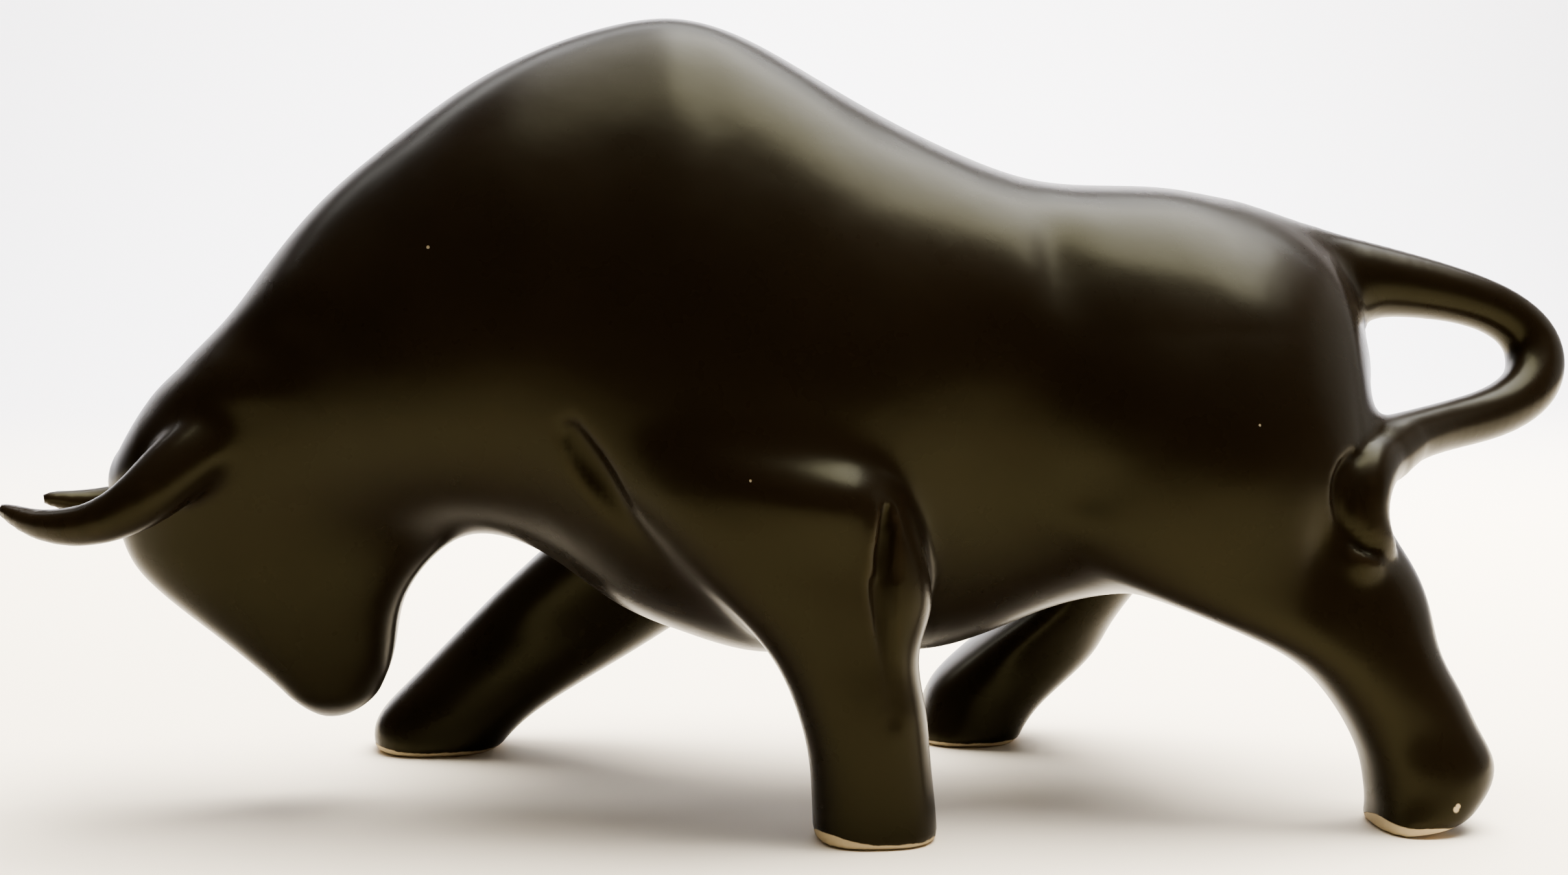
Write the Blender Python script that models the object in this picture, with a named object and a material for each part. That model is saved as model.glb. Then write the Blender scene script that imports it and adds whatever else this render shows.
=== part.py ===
"""Charging bull: a slip-cast ceramic figure, modelled as the one closed solid of its outer skin."""

import itertools

import bmesh
import bpy
import numpy as np

# Driving sizes, in metres
LENGTH = 0.324
STANCE = 0.082
TAIL_RADIUS = 0.0061
HORN_ROOT_RADIUS = 0.0074
SOLE_ROUND = 0.0010
HEEL_LIFT = 0.0026
ARMPIT_RADIUS = 0.0019
FOLD_RADIUS = 0.0028
TUFT_RADIUS = 0.0060
GRID_STEP = 0.0025
SOLE_SNAP = 0.0004
MOST_TRIANGLES = 9600

# The figure's pose and carving are kept in shares of its length: 1 share is 1 mm on the real piece
SHARES_LONG = 324.0
SHARE = LENGTH / SHARES_LONG

# A section: place along the part, shift to the side, half width, low edge, high edge,
# place of the widest line, squareness of the low side and of the high side (2 is round)
TRUNK = (
    (-136, 0, 15.0, 60.0, 76.0, 67, 2.0, 2.0),
    (-125, 0, 19.0, 58.0, 86.2, 75, 2.0, 2.0),
    (-112, 0, 22.0, 56.0, 102.5, 81, 2.0, 1.9),
    (-98, 0, 25.5, 55.0, 120.4, 86, 2.1, 1.9),
    (-82, 0, 30.5, 55.0, 134.7, 89, 2.2, 1.8),
    (-66, 0, 35.5, 56.0, 146.5, 91, 2.3, 1.8),
    (-50, 0, 40.0, 51.0, 154.8, 92, 2.3, 1.7),
    (-36, 0, 43.5, 41.0, 159.4, 86, 2.3, 1.7),
    (-22, 0, 46.4, 34.6, 161.0, 80, 2.3, 1.75),
    (-8, 0, 47.4, 30.6, 157.0, 77, 2.4, 1.8),
    (6, 0, 46.2, 30.0, 149.3, 79, 2.3, 1.9),
    (20, 0, 43.0, 29.3, 141.4, 85, 2.2, 1.9),
    (36, 0, 40.0, 30.8, 133.7, 88, 2.2, 2.0),
    (52, 0, 39.5, 37.4, 128.3, 85, 2.2, 2.1),
    (68, 0, 39.5, 41.5, 127.1, 80, 2.2, 2.2),
    (82, 0, 39.0, 44.0, 126.4, 77, 2.2, 2.2),
    (96, 0, 37.5, 50.5, 123.0, 78, 2.2, 2.1),
    (110, 0, 31.0, 56.0, 116.4, 83, 2.2, 2.1),
    (122, 0, 20.0, 62.0, 107.5, 87, 2.1, 2.0),
)
HEAD = (
    (14, 0, 7.5, -99.0, -89.0, -95, 2.2, 2.4),
    (21, 0, 10.5, -103.0, -85.5, -95, 2.4, 2.6),
    (27, 0, 12.2, -108.7, -82.8, -97, 2.6, 3.0),
    (34, 0, 14.0, -116.7, -81.2, -100, 2.6, 3.0),
    (41, 0, 15.6, -125.2, -79.6, -103, 2.6, 3.0),
    (48, 0, 17.0, -132.2, -75.5, -106, 2.6, 2.8),
    (56, 0, 18.3, -135.5, -69.0, -107, 2.5, 2.5),
    (66, 0, 19.6, -134.2, -62.0, -107, 2.4, 2.3),
    (74, 0, 20.0, -130.8, -58.0, -107, 2.3, 2.2),
    (82, 0, 19.4, -128.0, -58.0, -104, 2.2, 2.2),
    (90, 0, 18.0, -122.4, -60.0, -100, 2.2, 2.2),
)
# The legs' shifts are counted from half the stance, outwards positive
NEAR_FRONT_LEG = (
    (-4, 0.2, 11.2, 2.4, 26.4, 14, 2.6, 2.6),
    (6, 0.2, 11.2, 2.0, 25.8, 14, 2.6, 2.6),
    (16, 0.0, 11.4, 1.2, 24.8, 12, 2.5, 2.6),
    (26, -0.5, 11.8, -1.4, 23.8, 11, 2.4, 2.6),
    (37, -1.5, 12.4, -7.0, 22.8, 9, 2.4, 2.6),
    (46, -2.1, 13.2, -15.0, 25.0, 7, 2.4, 3.0),
    (54, -2.6, 14.0, -22.7, 24.0, 4, 2.4, 3.2),
    (62, -2.8, 14.4, -28.5, 21.5, 0, 2.4, 3.0),
    (72, -5.6, 14.6, -34.5, 16.0, -6, 2.4, 2.6),
    (84, -9.0, 14.6, -39.5, 8.0, -12, 2.2, 2.2),
)
FAR_FRONT_LEG = (
    (-4, -1.6, 11.8, -88.0, -65.0, -76, 2.5, 2.5),
    (2, -1.6, 11.9, -90.2, -60.4, -75, 2.5, 2.5),
    (7, -1.4, 12.0, -89.5, -55.2, -71, 2.5, 2.5),
    (14, -1.0, 12.2, -83.5, -44.5, -63, 2.4, 2.4),
    (21, -0.8, 12.5, -76.5, -32.5, -54, 2.4, 2.4),
    (28, -0.8, 13.0, -69.6, -21.2, -44, 2.4, 2.4),
    (38, -2.4, 13.8, -59.7, -6.5, -32, 2.4, 2.4),
    (48, -4.4, 14.4, -49.0, 5.8, -22, 2.4, 2.4),
    (60, -7.6, 14.8, -38.2, 12.0, -13, 2.4, 2.4),
    (74, -12.0, 14.8, -34.0, 12.0, -11, 2.2, 2.2),
    (84, -15.0, 14.6, -34.0, 10.0, -12, 2.2, 2.2),
)
NEAR_HIND_LEG = (
    (-4, 1.5, 11.2, 111.6, 128.0, 121, 2.5, 2.4),
    (2, 1.5, 11.4, 113.3, 131.8, 122, 2.5, 2.4),
    (8, 0.8, 11.5, 113.0, 136.6, 124, 2.5, 2.3),
    (13, 0.0, 11.6, 112.2, 137.8, 123, 2.5, 2.3),
    (19, -1.4, 11.7, 109.8, 135.2, 121, 2.5, 2.4),
    (26, -2.4, 12.0, 105.2, 131.9, 117, 2.5, 2.4),
    (34, -3.8, 12.6, 96.0, 127.9, 111, 2.5, 2.4),
    (42, -5.8, 13.6, 79.4, 126.4, 103, 2.5, 2.3),
    (50, -8.0, 15.0, 64.0, 123.8, 95, 2.1, 2.2),
    (60, -10.2, 16.8, 54.0, 117.4, 88, 1.9, 2.1),
    (72, -12.6, 18.0, 52.0, 113.4, 85, 1.8, 2.1),
    (86, -17.5, 18.0, 52.0, 111.0, 84, 2.2, 2.1),
    (98, -20.0, 17.0, 55.0, 107.0, 84, 2.2, 2.1),
)
FAR_HIND_LEG = (
    (-4, -3.6, 11.2, 33.0, 56.0, 45, 2.5, 2.5),
    (2, -3.6, 11.4, 34.0, 58.3, 47, 2.5, 2.5),
    (8, -3.2, 11.5, 35.4, 62.6, 50, 2.5, 2.5),
    (14, -2.8, 11.7, 38.2, 69.2, 54, 2.5, 2.5),
    (20, -2.6, 12.2, 44.4, 75.2, 59, 2.5, 2.5),
    (27, -3.6, 13.0, 53.0, 79.0, 65, 2.5, 2.4),
    (36, -5.4, 14.2, 62.0, 84.6, 71, 2.4, 2.4),
    (46, -8.0, 15.6, 64.0, 91.0, 75, 2.4, 2.3),
    (58, -11.4, 16.8, 63.0, 100.0, 80, 2.3, 2.2),
    (72, -14.4, 18.0, 53.0, 107.0, 83, 2.2, 2.1),
    (86, -17.5, 18.0, 52.0, 109.0, 84, 2.2, 2.1),
    (98, -20.0, 17.0, 55.0, 107.0, 84, 2.2, 2.1),
)
# Where each loft ends along its own axis, and how far its ends are rounded
TRUNK_ENDS = (-138, 124.8)
TRUNK_ROUNDS = (9, 14)
HEAD_ENDS = (16.7, 95)
HEAD_ROUNDS = (6, 12)
FRONT_LEG_ENDS = (-30, 88)
FRONT_LEG_ROUNDS = (10, 22)
HIND_LEG_ENDS = (-30, 104)
HIND_LEG_ROUNDS = (10, 26)

# Round runs: points along the middle, and the radius there as a share of the root's
HORN_PATH = (
    (-110, 14.0, 77.5), (-117.5, 19.5, 74.0), (-124, 24.0, 68.6), (-129.5, 26.2, 64.4),
    (-136, 26.2, 61.5), (-143, 24.4, 60.5), (-149.0, 21.4, 61.0), (-153.2, 18.6, 62.1), (-155.6, 17.0, 62.9),
)
HORN_TAPER = (1.0, 0.97, 0.85, 0.71, 0.58, 0.48, 0.37, 0.27, 0.18)
FAR_HORN_DROP = 2.0
TAIL_PATH = (
    (96, 0.0, 110.0), (112, 0.0, 108.8), (125, 0.0, 107.2), (139, 0.0, 105.0), (152, 0.0, 101.4),
    (160.2, 0.0, 96.0), (162.2, -2.0, 89.8), (158.8, -6.0, 84.0), (149.8, -11.0, 79.7), (138, -17.0, 77.5),
    (127.0, -23.5, 75.6), (120.0, -29.0, 73.0),
)
TAIL_TAPER = (1.7, 1.45, 1.28, 1.04, 0.90, 0.93, 1.0, 0.96, 0.89, 0.84, 0.84, 0.86)
TUFT_PATH = (
    (123.2, -26.5, 74.4), (118.2, -31.0, 72.4), (113.4, -35.5, 70.2), (110.8, -38.8, 66.2),
    (110.2, -39.8, 61.8), (111.4, -40.4, 58.2), (113.8, -40.8, 55.8), (116.2, -40.8, 54.2),
)
TUFT_TAPER = (0.84, 0.88, 1.0, 1.0, 1.0, 0.88, 0.6, 0.25)
SHOULDER_ROLL = (
    (-26, 40.0, 75.5), (-17, 43.6, 71.6), (-8, 45.9, 68.6),
    (0, 46.8, 66.6), (6, 46.4, 65.7), (10.2, 44.0, 66.0),
)
ROLL_RADII = (3.0, 4.8, 6.0, 6.4, 6.0, 4.6)
ARMPIT = (
    (15.2, -49.4, 65.0), (14.6, -50.6, 58.0), (14.4, -52.0, 49.0), (15, -52.9, 39.0), (16.5, -53.6, 29.0),
)
ARMPIT_TAPER = (0.6, 1.0, 0.9, 0.7, 0.4)
NECK_FOLD = (
    (-44, -40.6, 79.5), (-41, -40.9, 74.0), (-38, -41.1, 69.0), (-34.5, -41.6, 63.0), (-29, -42.6, 55.0),
)
FOLD_TAPER = (0.6, 1.0, 0.95, 0.75, 0.5)

# Soft swellings (+) and hollows (-) of both sides: middle, size each way, height
HIP = ((82, 42, 80), (22, 20, 24), 2.6)
FLANK = ((52.5, 34, 112), (6, 14, 14), -1.8)
NECK_ROLL = ((-96, 21, 105), (11, 10, 8), 1.0)
POLL = ((-110, 21, 88), (8, 9, 6), 1.0)
NECK_DIP = ((-102.5, 23, 95.5), (7, 9, 5), -0.9)
HUMP_DIP = ((-17, 24, 145), (5, 12, 16), -0.5)
# The same on the near side only
HOCK_KNOB = ((110, -46, 54.3), (5.5, 8, 4), 2.0)
HOCK_HOLLOW = ((101.5, -45.5, 54.5), (5, 9, 8), -1.8)
BELLY_DIMPLE = ((55.4, -41, 66.5), (6, 8, 5.5), -1.0)

# Widths of the soft joints between bodies
HEAD_JOINT = 12
ROLL_JOINT = 8
NEAR_FRONT_JOINT = 8
FAR_FRONT_JOINT = 9
NEAR_HIND_JOINT = 21
FAR_HIND_JOINT = 13
HORN_JOINT = 4
TAIL_JOINT = 11
TUFT_JOINT = 1.2
ARMPIT_EDGE = 2
FOLD_EDGE = 4

# The near hind foot stands on its front; from here to here along X its sole rises by HEEL_LIFT
HEEL = (118, 132)

GLAZE = (0.012, 0.009, 0.005, 1.0)
GLAZE_ROUGHNESS = 0.3

# The box that the figure fits in
BOX_LOW = (-164, -62, -6.5)
BOX_HIGH = (178, 62, 169)

# A body's distance is worked out this near to it, and counts as FAR_AWAY beyond
REACH = 24.0
FAR_AWAY = 60.0
# The least height of half a section, and how many straight steps a run takes from point to point
THINNEST = 0.5
STEPS_PER_POINT = 5
# How near the skin may come to a grid corner, as a share of the edge
NEAREST_CORNER = 0.08
# Rounds of evening out the thinned mesh, and how its points find their way back to the skin
EVENING_ROUNDS = 3
SLOPE_STEP = 0.05
FLATTEST_SLOPE = 0.05


def spline(places, values, at):
    """Natural cubic curve through the values: what it is at each place, and its slope there."""
    x = np.asarray(places, float)
    y = np.asarray(values, float)
    step = np.diff(x)
    rows = np.eye(len(x))
    right = np.zeros(len(x))
    for i in range(1, len(x) - 1):
        rows[i, i - 1:i + 2] = step[i - 1], 2 * (step[i - 1] + step[i]), step[i]
        right[i] = 6 * ((y[i + 1] - y[i]) / step[i] - (y[i] - y[i - 1]) / step[i - 1])
    bend = np.linalg.solve(rows, right)
    at = np.clip(at, x[0], x[-1])
    i = np.clip(np.searchsorted(x, at) - 1, 0, len(x) - 2)
    before = at - x[i]
    after = x[i + 1] - at
    start = y[i] / step[i] - bend[i] * step[i] / 6
    end = y[i + 1] / step[i] - bend[i + 1] * step[i] / 6
    value = (bend[i] * after ** 3 + bend[i + 1] * before ** 3) / (6 * step[i]) + start * after + end * before
    slope = (bend[i + 1] * before ** 2 - bend[i] * after ** 2) / (2 * step[i]) - start + end
    return value, slope


def within(points, low, high):
    """Which points lie within REACH of a box."""
    return np.all((points > np.asarray(low) - REACH) & (points < np.asarray(high) + REACH), axis=1)


def stacked(points, sections, along, ends, rounds, side=1.0, stance=0.0):
    """Distance to a body lofted through sections that are stacked along X (0) or Z (2)."""
    rows = np.asarray(sections, float)
    across = 2 - along
    middle = side * (stance + rows[:, 1])
    low = np.zeros(3)
    high = np.zeros(3)
    low[along], high[along] = ends
    low[1], high[1] = (middle - rows[:, 2]).min(), (middle + rows[:, 2]).max()
    low[across], high[across] = rows[:, 3].min(), rows[:, 4].max()
    distance = np.full(len(points), FAR_AWAY)
    near = within(points, low, high)
    if not near.any():
        return distance
    place = points[near, along]
    columns = [middle] + [rows[:, k] for k in range(2, 8)]
    curves = [spline(rows[:, 0], column, place) for column in columns]
    (centre, centre_slope), (wide, wide_slope), (bottom, bottom_slope), (top, top_slope) = curves[:4]
    (waist, waist_slope), (square_low, _), (square_high, _) = curves[4:]
    upper = points[near, across] > waist
    tall = np.maximum(np.where(upper, top - waist, waist - bottom), THINNEST)
    tall_slope = np.where(upper, top_slope - waist_slope, waist_slope - bottom_slope)
    power = np.where(upper, square_high, square_low)
    out = points[near, 1] - centre
    up = points[near, across] - waist
    a = np.abs(out) / wide + 1e-9
    b = np.abs(up) / tall + 1e-9
    ring = (a ** power + b ** power) ** (1 / power)
    head_end = np.maximum(0, (ends[0] + rounds[0] - place) / rounds[0])
    tail_end = np.maximum(0, (place - ends[1] + rounds[1]) / rounds[1])
    cap = head_end + tail_end
    cap_slope = np.where(tail_end > 0, 1 / rounds[1], 0) - np.where(head_end > 0, 1 / rounds[0], 0)
    level = np.sqrt(ring * ring + cap * cap)
    part_a = (a / ring) ** (power - 1)
    part_b = (b / ring) ** (power - 1)
    a_slope = (-np.sign(out) * centre_slope - a * wide_slope) / wide
    b_slope = (-np.sign(up) * waist_slope - b * tall_slope) / tall
    steep = (part_a * a_slope + part_b * b_slope) * ring / level + cap / level * cap_slope
    steep_out = part_a / wide * ring / level
    steep_up = part_b / tall * ring / level
    distance[near] = (level - 1) / np.sqrt(steep ** 2 + steep_out ** 2 + steep_up ** 2 + 1e-12)
    return distance


def tube(points, path, radii):
    """Distance to a round run along a smooth path, its radius changing on the way."""
    path = np.asarray(path, float)
    knots = np.arange(len(path))
    fine = np.linspace(0, len(path) - 1, (len(path) - 1) * STEPS_PER_POINT + 1)
    centres = np.stack([spline(knots, path[:, k], fine)[0] for k in range(3)], -1)
    radius = spline(knots, radii, fine)[0]
    distance = np.full(len(points), FAR_AWAY)
    near = within(points, centres.min(0) - radius.max(), centres.max(0) + radius.max())
    close = points[near]
    best = np.full(len(close), FAR_AWAY)
    for start, end, first, last in zip(centres, centres[1:], radius, radius[1:]):
        run = end - start
        share = np.clip((close - start) @ run / (run @ run), 0, 1)
        away = np.linalg.norm(close - start - share[:, None] * run, axis=1)
        best = np.minimum(best, away - first - share * (last - first))
    distance[near] = best
    return distance


def blend(first, second, width):
    """Union of two bodies with a soft joint of this width."""
    overlap = np.maximum(width - np.abs(first - second), 0) / width
    return np.minimum(first, second) - overlap ** 3 * width / 6


def carve(body, tool, width):
    """The body without the tool, with a soft edge of this width."""
    overlap = np.maximum(width - np.abs(body + tool), 0) / width
    return np.maximum(body, -tool) + overlap ** 3 * width / 6


def swelling(points, middle, size, height):
    """A soft rise of the skin around a place."""
    offset = (points - np.asarray(middle, float)) / np.asarray(size, float)
    return height * np.exp(-(offset * offset).sum(1))


def mirrored(path):
    """The same path on the far side."""
    return [(x, -y, z) for x, y, z in path]


def limbs(points, body):
    """The four legs joined to the trunk, the near ones at -Y."""
    stance = STANCE / SHARE / 2
    for sections, side, joint in (
        (NEAR_FRONT_LEG, -1, NEAR_FRONT_JOINT),
        (FAR_FRONT_LEG, 1, FAR_FRONT_JOINT),
    ):
        leg = stacked(points, sections, 2, FRONT_LEG_ENDS, FRONT_LEG_ROUNDS, side, stance)
        body = blend(body, leg, joint)
    for sections, side, joint in (
        (NEAR_HIND_LEG, -1, NEAR_HIND_JOINT),
        (FAR_HIND_LEG, 1, FAR_HIND_JOINT),
    ):
        leg = stacked(points, sections, 2, HIND_LEG_ENDS, HIND_LEG_ROUNDS, side, stance)
        body = blend(body, leg, joint)
    return body


def horns(points, body):
    """Both horns; the far one sits a little lower, as cast."""
    root = HORN_ROOT_RADIUS / SHARE
    radii = [root * share for share in HORN_TAPER]
    last = len(HORN_PATH) - 1
    far = [(x, y, z - FAR_HORN_DROP * k / last) for k, (x, y, z) in enumerate(HORN_PATH)]
    body = blend(body, tube(points, mirrored(HORN_PATH), radii), HORN_JOINT)
    return blend(body, tube(points, far, radii), HORN_JOINT)


def tail(points, body):
    """The looped tail, and its tuft laid against the near thigh."""
    radius = TAIL_RADIUS / SHARE
    tuft = TUFT_RADIUS / SHARE
    body = blend(body, tube(points, TAIL_PATH, [radius * share for share in TAIL_TAPER]), TAIL_JOINT)
    return blend(body, tube(points, TUFT_PATH, [tuft * share for share in TUFT_TAPER]), TUFT_JOINT)


def carving(points, body):
    """Armpit, neck fold, and the soft modelling of neck, hump, hips, flanks, belly and hock."""
    grooves = (
        (ARMPIT, ARMPIT_RADIUS, ARMPIT_TAPER, ARMPIT_EDGE),
        (NECK_FOLD, FOLD_RADIUS, FOLD_TAPER, FOLD_EDGE),
    )
    for path, radius, taper, edge in grooves:
        body = carve(body, tube(points, path, [radius / SHARE * share for share in taper]), edge)
    for middle, size, height in (HIP, FLANK, NECK_ROLL, NECK_DIP, POLL, HUMP_DIP):
        for side in (-1, 1):
            place = (middle[0], side * middle[1], middle[2])
            body = body - swelling(points, place, size, height)
    for middle, size, height in (HOCK_KNOB, HOCK_HOLLOW, BELLY_DIMPLE):
        body = body - swelling(points, middle, size, height)
    return body


def standing_bull(points):
    """Signed distance, in shares, from the bull's skin, as if its legs went on below the ground."""
    body = stacked(points, TRUNK, 0, TRUNK_ENDS, TRUNK_ROUNDS)
    body = blend(body, stacked(points, HEAD, 2, HEAD_ENDS, HEAD_ROUNDS), HEAD_JOINT)
    for path in (SHOULDER_ROLL, mirrored(SHOULDER_ROLL)):
        body = blend(body, tube(points, path, ROLL_RADII), ROLL_JOINT)
    body = limbs(points, body)
    body = carving(points, body)
    body = horns(points, body)
    return tail(points, body)


def grounded(points, body):
    """The body cut off flat at the ground, with rounded rims to its soles and the near heel lifted."""
    width = 2 * SOLE_ROUND / SHARE
    heel_start, heel_end = HEEL
    heel = np.clip((points[:, 0] - heel_start) / (heel_end - heel_start), 0, 2) * HEEL_LIFT / SHARE
    ground = heel - points[:, 2]
    overlap = np.maximum(width - np.abs(body - ground), 0)
    return np.maximum(body, ground) + overlap ** 2 / (4 * width)


def bull_field(points):
    """Signed distance, in shares, from the skin of the bull on its soles: negative inside."""
    return grounded(points, standing_bull(points))


def skin(field, low, high, step):
    """Points and faces where the field crosses zero, from the six wedges of each grid cell."""
    counts = [int(np.ceil((b - a) / step)) + 1 for a, b in zip(low, high)]
    axes = [a + step * np.arange(n) for a, n in zip(low, counts)]
    grid = np.stack(np.meshgrid(*axes, indexing="ij"), -1).reshape(-1, 3)
    value = field(grid)
    strides = (counts[1] * counts[2], counts[2], 1)
    offsets = np.array([sum(strides[k] for k in range(3) if corner >> k & 1) for corner in range(8)])
    cells = np.arange(len(grid)).reshape(counts)[:-1, :-1, :-1].ravel()
    filled = (value[cells[:, None] + offsets] < 0).sum(1)
    cells = cells[(filled > 0) & (filled < 8)]
    edges = []
    for first, second, _ in itertools.permutations(range(3)):
        wedge = cells[:, None] + offsets[[0, 1 << first, 1 << first | 1 << second, 7]]
        inside = value[wedge] < 0
        for case in range(1, 15):
            inner = [k for k in range(4) if case >> k & 1]
            outer = [k for k in range(4) if not case >> k & 1]
            rows = wedge[(inside == [k in inner for k in range(4)]).all(1)]
            if len(rows) == 0:
                continue
            ring = [(i, o) for i in inner for o in outer]
            if len(ring) == 4:
                ring = [ring[0], ring[1], ring[3], ring[2]]
            places = [(grid[rows[:, i]] + grid[rows[:, o]]) / 2 for i, o in ring[:3]]
            outward = grid[rows[:, outer]].mean(1) - grid[rows[:, inner]].mean(1)
            facing = np.cross(places[1] - places[0], places[2] - places[0])
            if (facing * outward).sum() < 0:
                ring.reverse()
            pairs = np.stack([rows[:, list(pair)] for pair in ring], 1)
            edges.append(np.sort(pairs, axis=2))
    keys = [pairs[..., 0] * len(grid) + pairs[..., 1] for pairs in edges]
    every = np.unique(np.concatenate([key.ravel() for key in keys]))
    start, end = every // len(grid), every % len(grid)
    share = value[start] / (value[start] - value[end])
    share = np.clip(share, NEAREST_CORNER, 1 - NEAREST_CORNER)
    points = grid[start] + share[:, None] * (grid[end] - grid[start])
    faces = [face for key in keys for face in np.searchsorted(every, key).tolist()]
    return points, faces


def settled(field, points, rounds=2):
    """The points moved along the slope onto the zero surface."""
    for _ in range(rounds):
        slope = np.zeros_like(points)
        for k in range(3):
            step = np.zeros(3)
            step[k] = SLOPE_STEP
            slope[:, k] = (field(points + step) - field(points - step)) / (2 * SLOPE_STEP)
        steepness = np.maximum((slope * slope).sum(1), FLATTEST_SLOPE)
        points = points - (field(points) / steepness)[:, None] * slope
    return points


def glaze_material():
    """Satin brown-black glaze."""
    material = bpy.data.materials.new("satin glaze")
    material.use_nodes = True
    shader = material.node_tree.nodes["Principled BSDF"]
    shader.inputs["Base Color"].default_value = GLAZE
    shader.inputs["Roughness"].default_value = GLAZE_ROUGHNESS
    shader.inputs["Metallic"].default_value = 0.0
    return material


def bull_mesh():
    """The skin as a mesh of few triangles, with its points set back on the field."""
    step = GRID_STEP / SHARE
    points, faces = skin(bull_field, BOX_LOW, BOX_HIGH, step)
    dense = bpy.data.meshes.new("dense skin")
    dense.from_pydata((points * SHARE).tolist(), [], faces)
    shape = bmesh.new()
    shape.from_mesh(dense)
    bmesh.ops.triangulate(shape, faces=shape.faces)
    triangles = len(shape.faces)
    shape.to_mesh(dense)
    shape.free()
    holder = bpy.data.objects.new("dense skin", dense)
    bpy.context.collection.objects.link(holder)
    thinner = holder.modifiers.new("fewer triangles", "DECIMATE")
    thinner.ratio = MOST_TRIANGLES / triangles
    evaluated = holder.evaluated_get(bpy.context.evaluated_depsgraph_get())
    light = bpy.data.meshes.new_from_object(evaluated)
    shape = bmesh.new()
    shape.from_mesh(light)
    above = [vertex for vertex in shape.verts if vertex.co.z > GRID_STEP]
    for _ in range(EVENING_ROUNDS):
        bmesh.ops.smooth_vert(
            shape, verts=above, factor=0.5, use_axis_x=True, use_axis_y=True, use_axis_z=True,
        )
    shape.to_mesh(light)
    shape.free()
    bpy.data.objects.remove(holder)
    bpy.data.meshes.remove(dense)
    places = np.array([vertex.co for vertex in light.vertices]) / SHARE
    places = settled(bull_field, places)
    places[:, 2] = np.where(places[:, 2] < SOLE_SNAP / SHARE, 0, places[:, 2])
    places[:, :2] -= (places[:, :2].min(0) + places[:, :2].max(0)) / 2
    for vertex, place in zip(light.vertices, places * SHARE):
        vertex.co = place
    return light


def make_bull():
    """The bull as one object, its origin on the ground under the middle of its length and width."""
    mesh = bull_mesh()
    mesh.name = "bull"
    mesh.materials.append(glaze_material())
    mesh.shade_smooth()
    bull = bpy.data.objects.new("bull", mesh)
    bpy.context.collection.objects.link(bull)
    return bull


def main():
    for old in list(bpy.data.objects):
        bpy.data.objects.remove(old)
    make_bull()


main()
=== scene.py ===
"""Charging bull in satin glazed ceramic, on a white sweep under soft light.

The figure is worked out again from the same distance field as the solid, on a finer grid, with
the carving that is too small for the solid. Its glaze, bare clay and specks are procedural.
"""

import math

import bpy
import numpy as np
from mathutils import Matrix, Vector


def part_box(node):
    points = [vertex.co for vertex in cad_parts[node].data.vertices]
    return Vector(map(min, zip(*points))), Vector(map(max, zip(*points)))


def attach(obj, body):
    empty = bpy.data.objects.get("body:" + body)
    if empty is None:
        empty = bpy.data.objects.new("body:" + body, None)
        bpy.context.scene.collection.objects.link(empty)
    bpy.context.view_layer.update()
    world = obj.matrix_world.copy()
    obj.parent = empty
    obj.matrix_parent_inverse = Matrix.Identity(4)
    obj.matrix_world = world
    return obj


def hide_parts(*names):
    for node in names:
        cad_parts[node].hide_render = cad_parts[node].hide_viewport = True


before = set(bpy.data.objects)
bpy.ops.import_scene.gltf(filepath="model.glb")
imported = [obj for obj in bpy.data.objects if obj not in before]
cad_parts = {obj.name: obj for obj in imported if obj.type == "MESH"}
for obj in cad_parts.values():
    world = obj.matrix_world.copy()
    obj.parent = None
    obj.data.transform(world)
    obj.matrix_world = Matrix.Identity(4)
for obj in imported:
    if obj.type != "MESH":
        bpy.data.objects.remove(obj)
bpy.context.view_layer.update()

bl_info = {
    "name": "Charging bull figure",
    "version": (1, 0, 0),
    "blender": (4, 5, 0),
    "location": "View3D > Sidebar > Bull",
    "description": "Makes a glazed ceramic bull and the studio that it stands in",
    "category": "Add Mesh",
}

BULL_LOW, BULL_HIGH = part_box("bull")

# The figure's pose and carving are kept in shares of its length, as in the solid: 1 share is 1 mm
# on the real piece. Sizes that end in SHARES are in them, and so are all places along the figure
SHARES_LONG = 323.6
SHARE = (BULL_HIGH.x - BULL_LOW.x) / SHARES_LONG

# Sizes as on the solid, in metres
STANCE = 0.082
TAIL_RADIUS = 0.0061
HORN_ROOT_RADIUS = 0.0074
SOLE_ROUND = 0.0010
HEEL_LIFT = 0.0026
ARMPIT_RADIUS = 0.0019
FOLD_RADIUS = 0.0028
TUFT_RADIUS = 0.0060

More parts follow.
